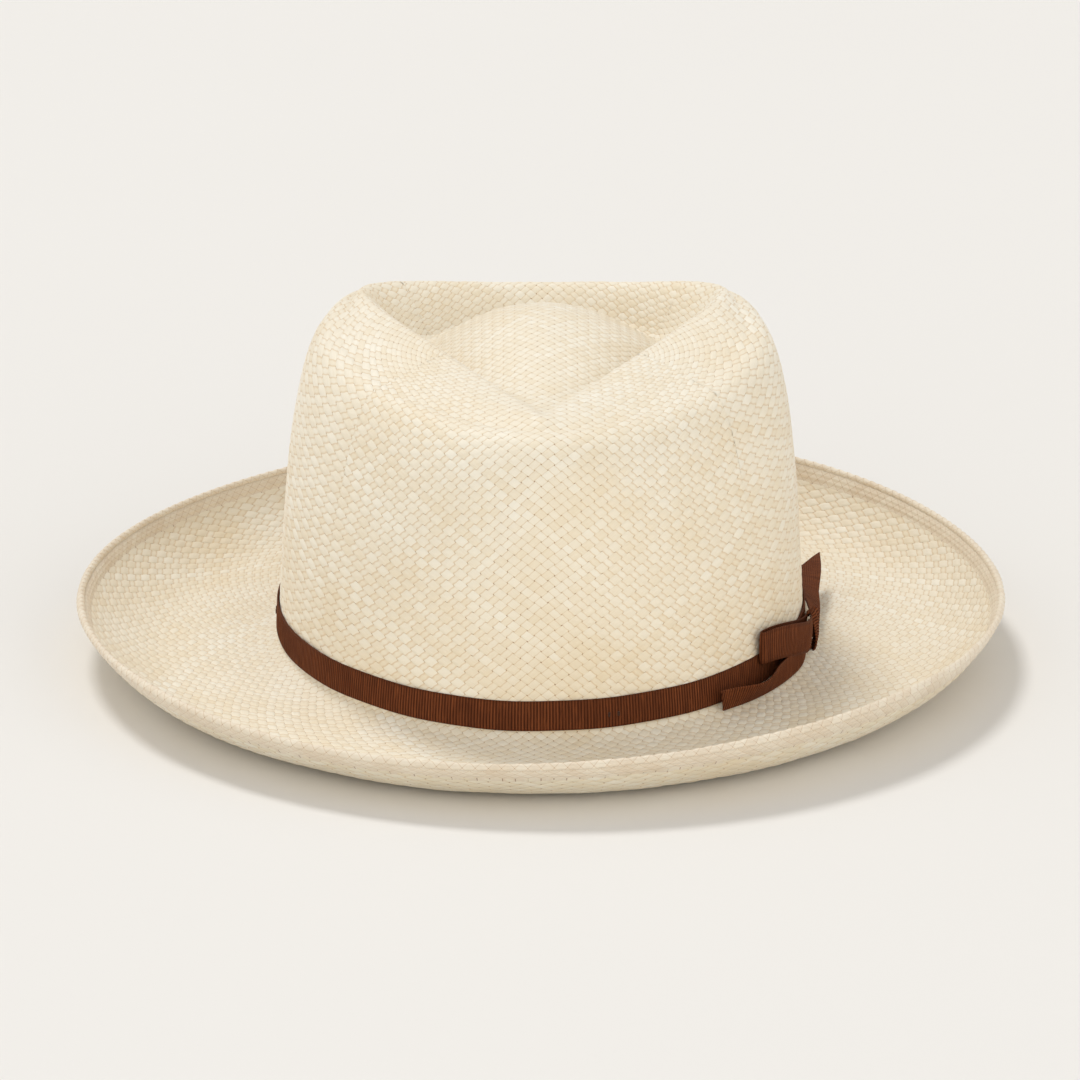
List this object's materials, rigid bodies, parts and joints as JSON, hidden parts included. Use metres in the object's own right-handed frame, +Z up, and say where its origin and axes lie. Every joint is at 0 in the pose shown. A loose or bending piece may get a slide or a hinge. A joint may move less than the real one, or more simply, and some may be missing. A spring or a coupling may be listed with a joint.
{
  "type": "panama hat",
  "caption": "Woven straw panama hat with a teardrop crown, an upcurled brim and a narrow brown grosgrain ribbon tied in a side bow.",
  "frame": {"origin": "centre of the bounding box in plan, on the plane the brim rests on", "axes": "+X towards the wearer's left (the bow side), -Y towards the front point of the crown, +Z up through the crown"},
  "size_m": [0.3082, 0.3282, 0.112],
  "materials": {
    "straw": "hand-woven ivory straw with a faint sheen and honey-coloured gaps",
    "straw_edge": "back-woven straw edge, denser and smoother than the brim",
    "ribbon": "dark brown ribbed grosgrain, matt with a low sheen",
    "thread_dark": "brown sewing thread",
    "leather": "smooth tan leather, satin",
    "reed": "pale flexible reed",
    "tape": "natural cotton tape",
    "thread_light": "cream sewing thread",
    "bow_inner": "dark brown satin ribbon"
  },
  "bodies": {
    "root": {"straw_crown": "straw", "straw_brim": "straw", "brim_edge": "straw_edge", "hat_band": "ribbon", "band_tacks": "thread_dark", "bow_loop": "ribbon", "bow_knot": "ribbon", "bow_front_tail": "ribbon", "bow_rear_tail": "ribbon", "sweatband": "leather", "sweatband_reed": "reed", "reed_tape": "tape", "sweatband_stitches": "thread_light", "sweatband_bow_loops": "bow_inner", "sweatband_bow_knot": "bow_inner"}
  },
  "joints": []
}
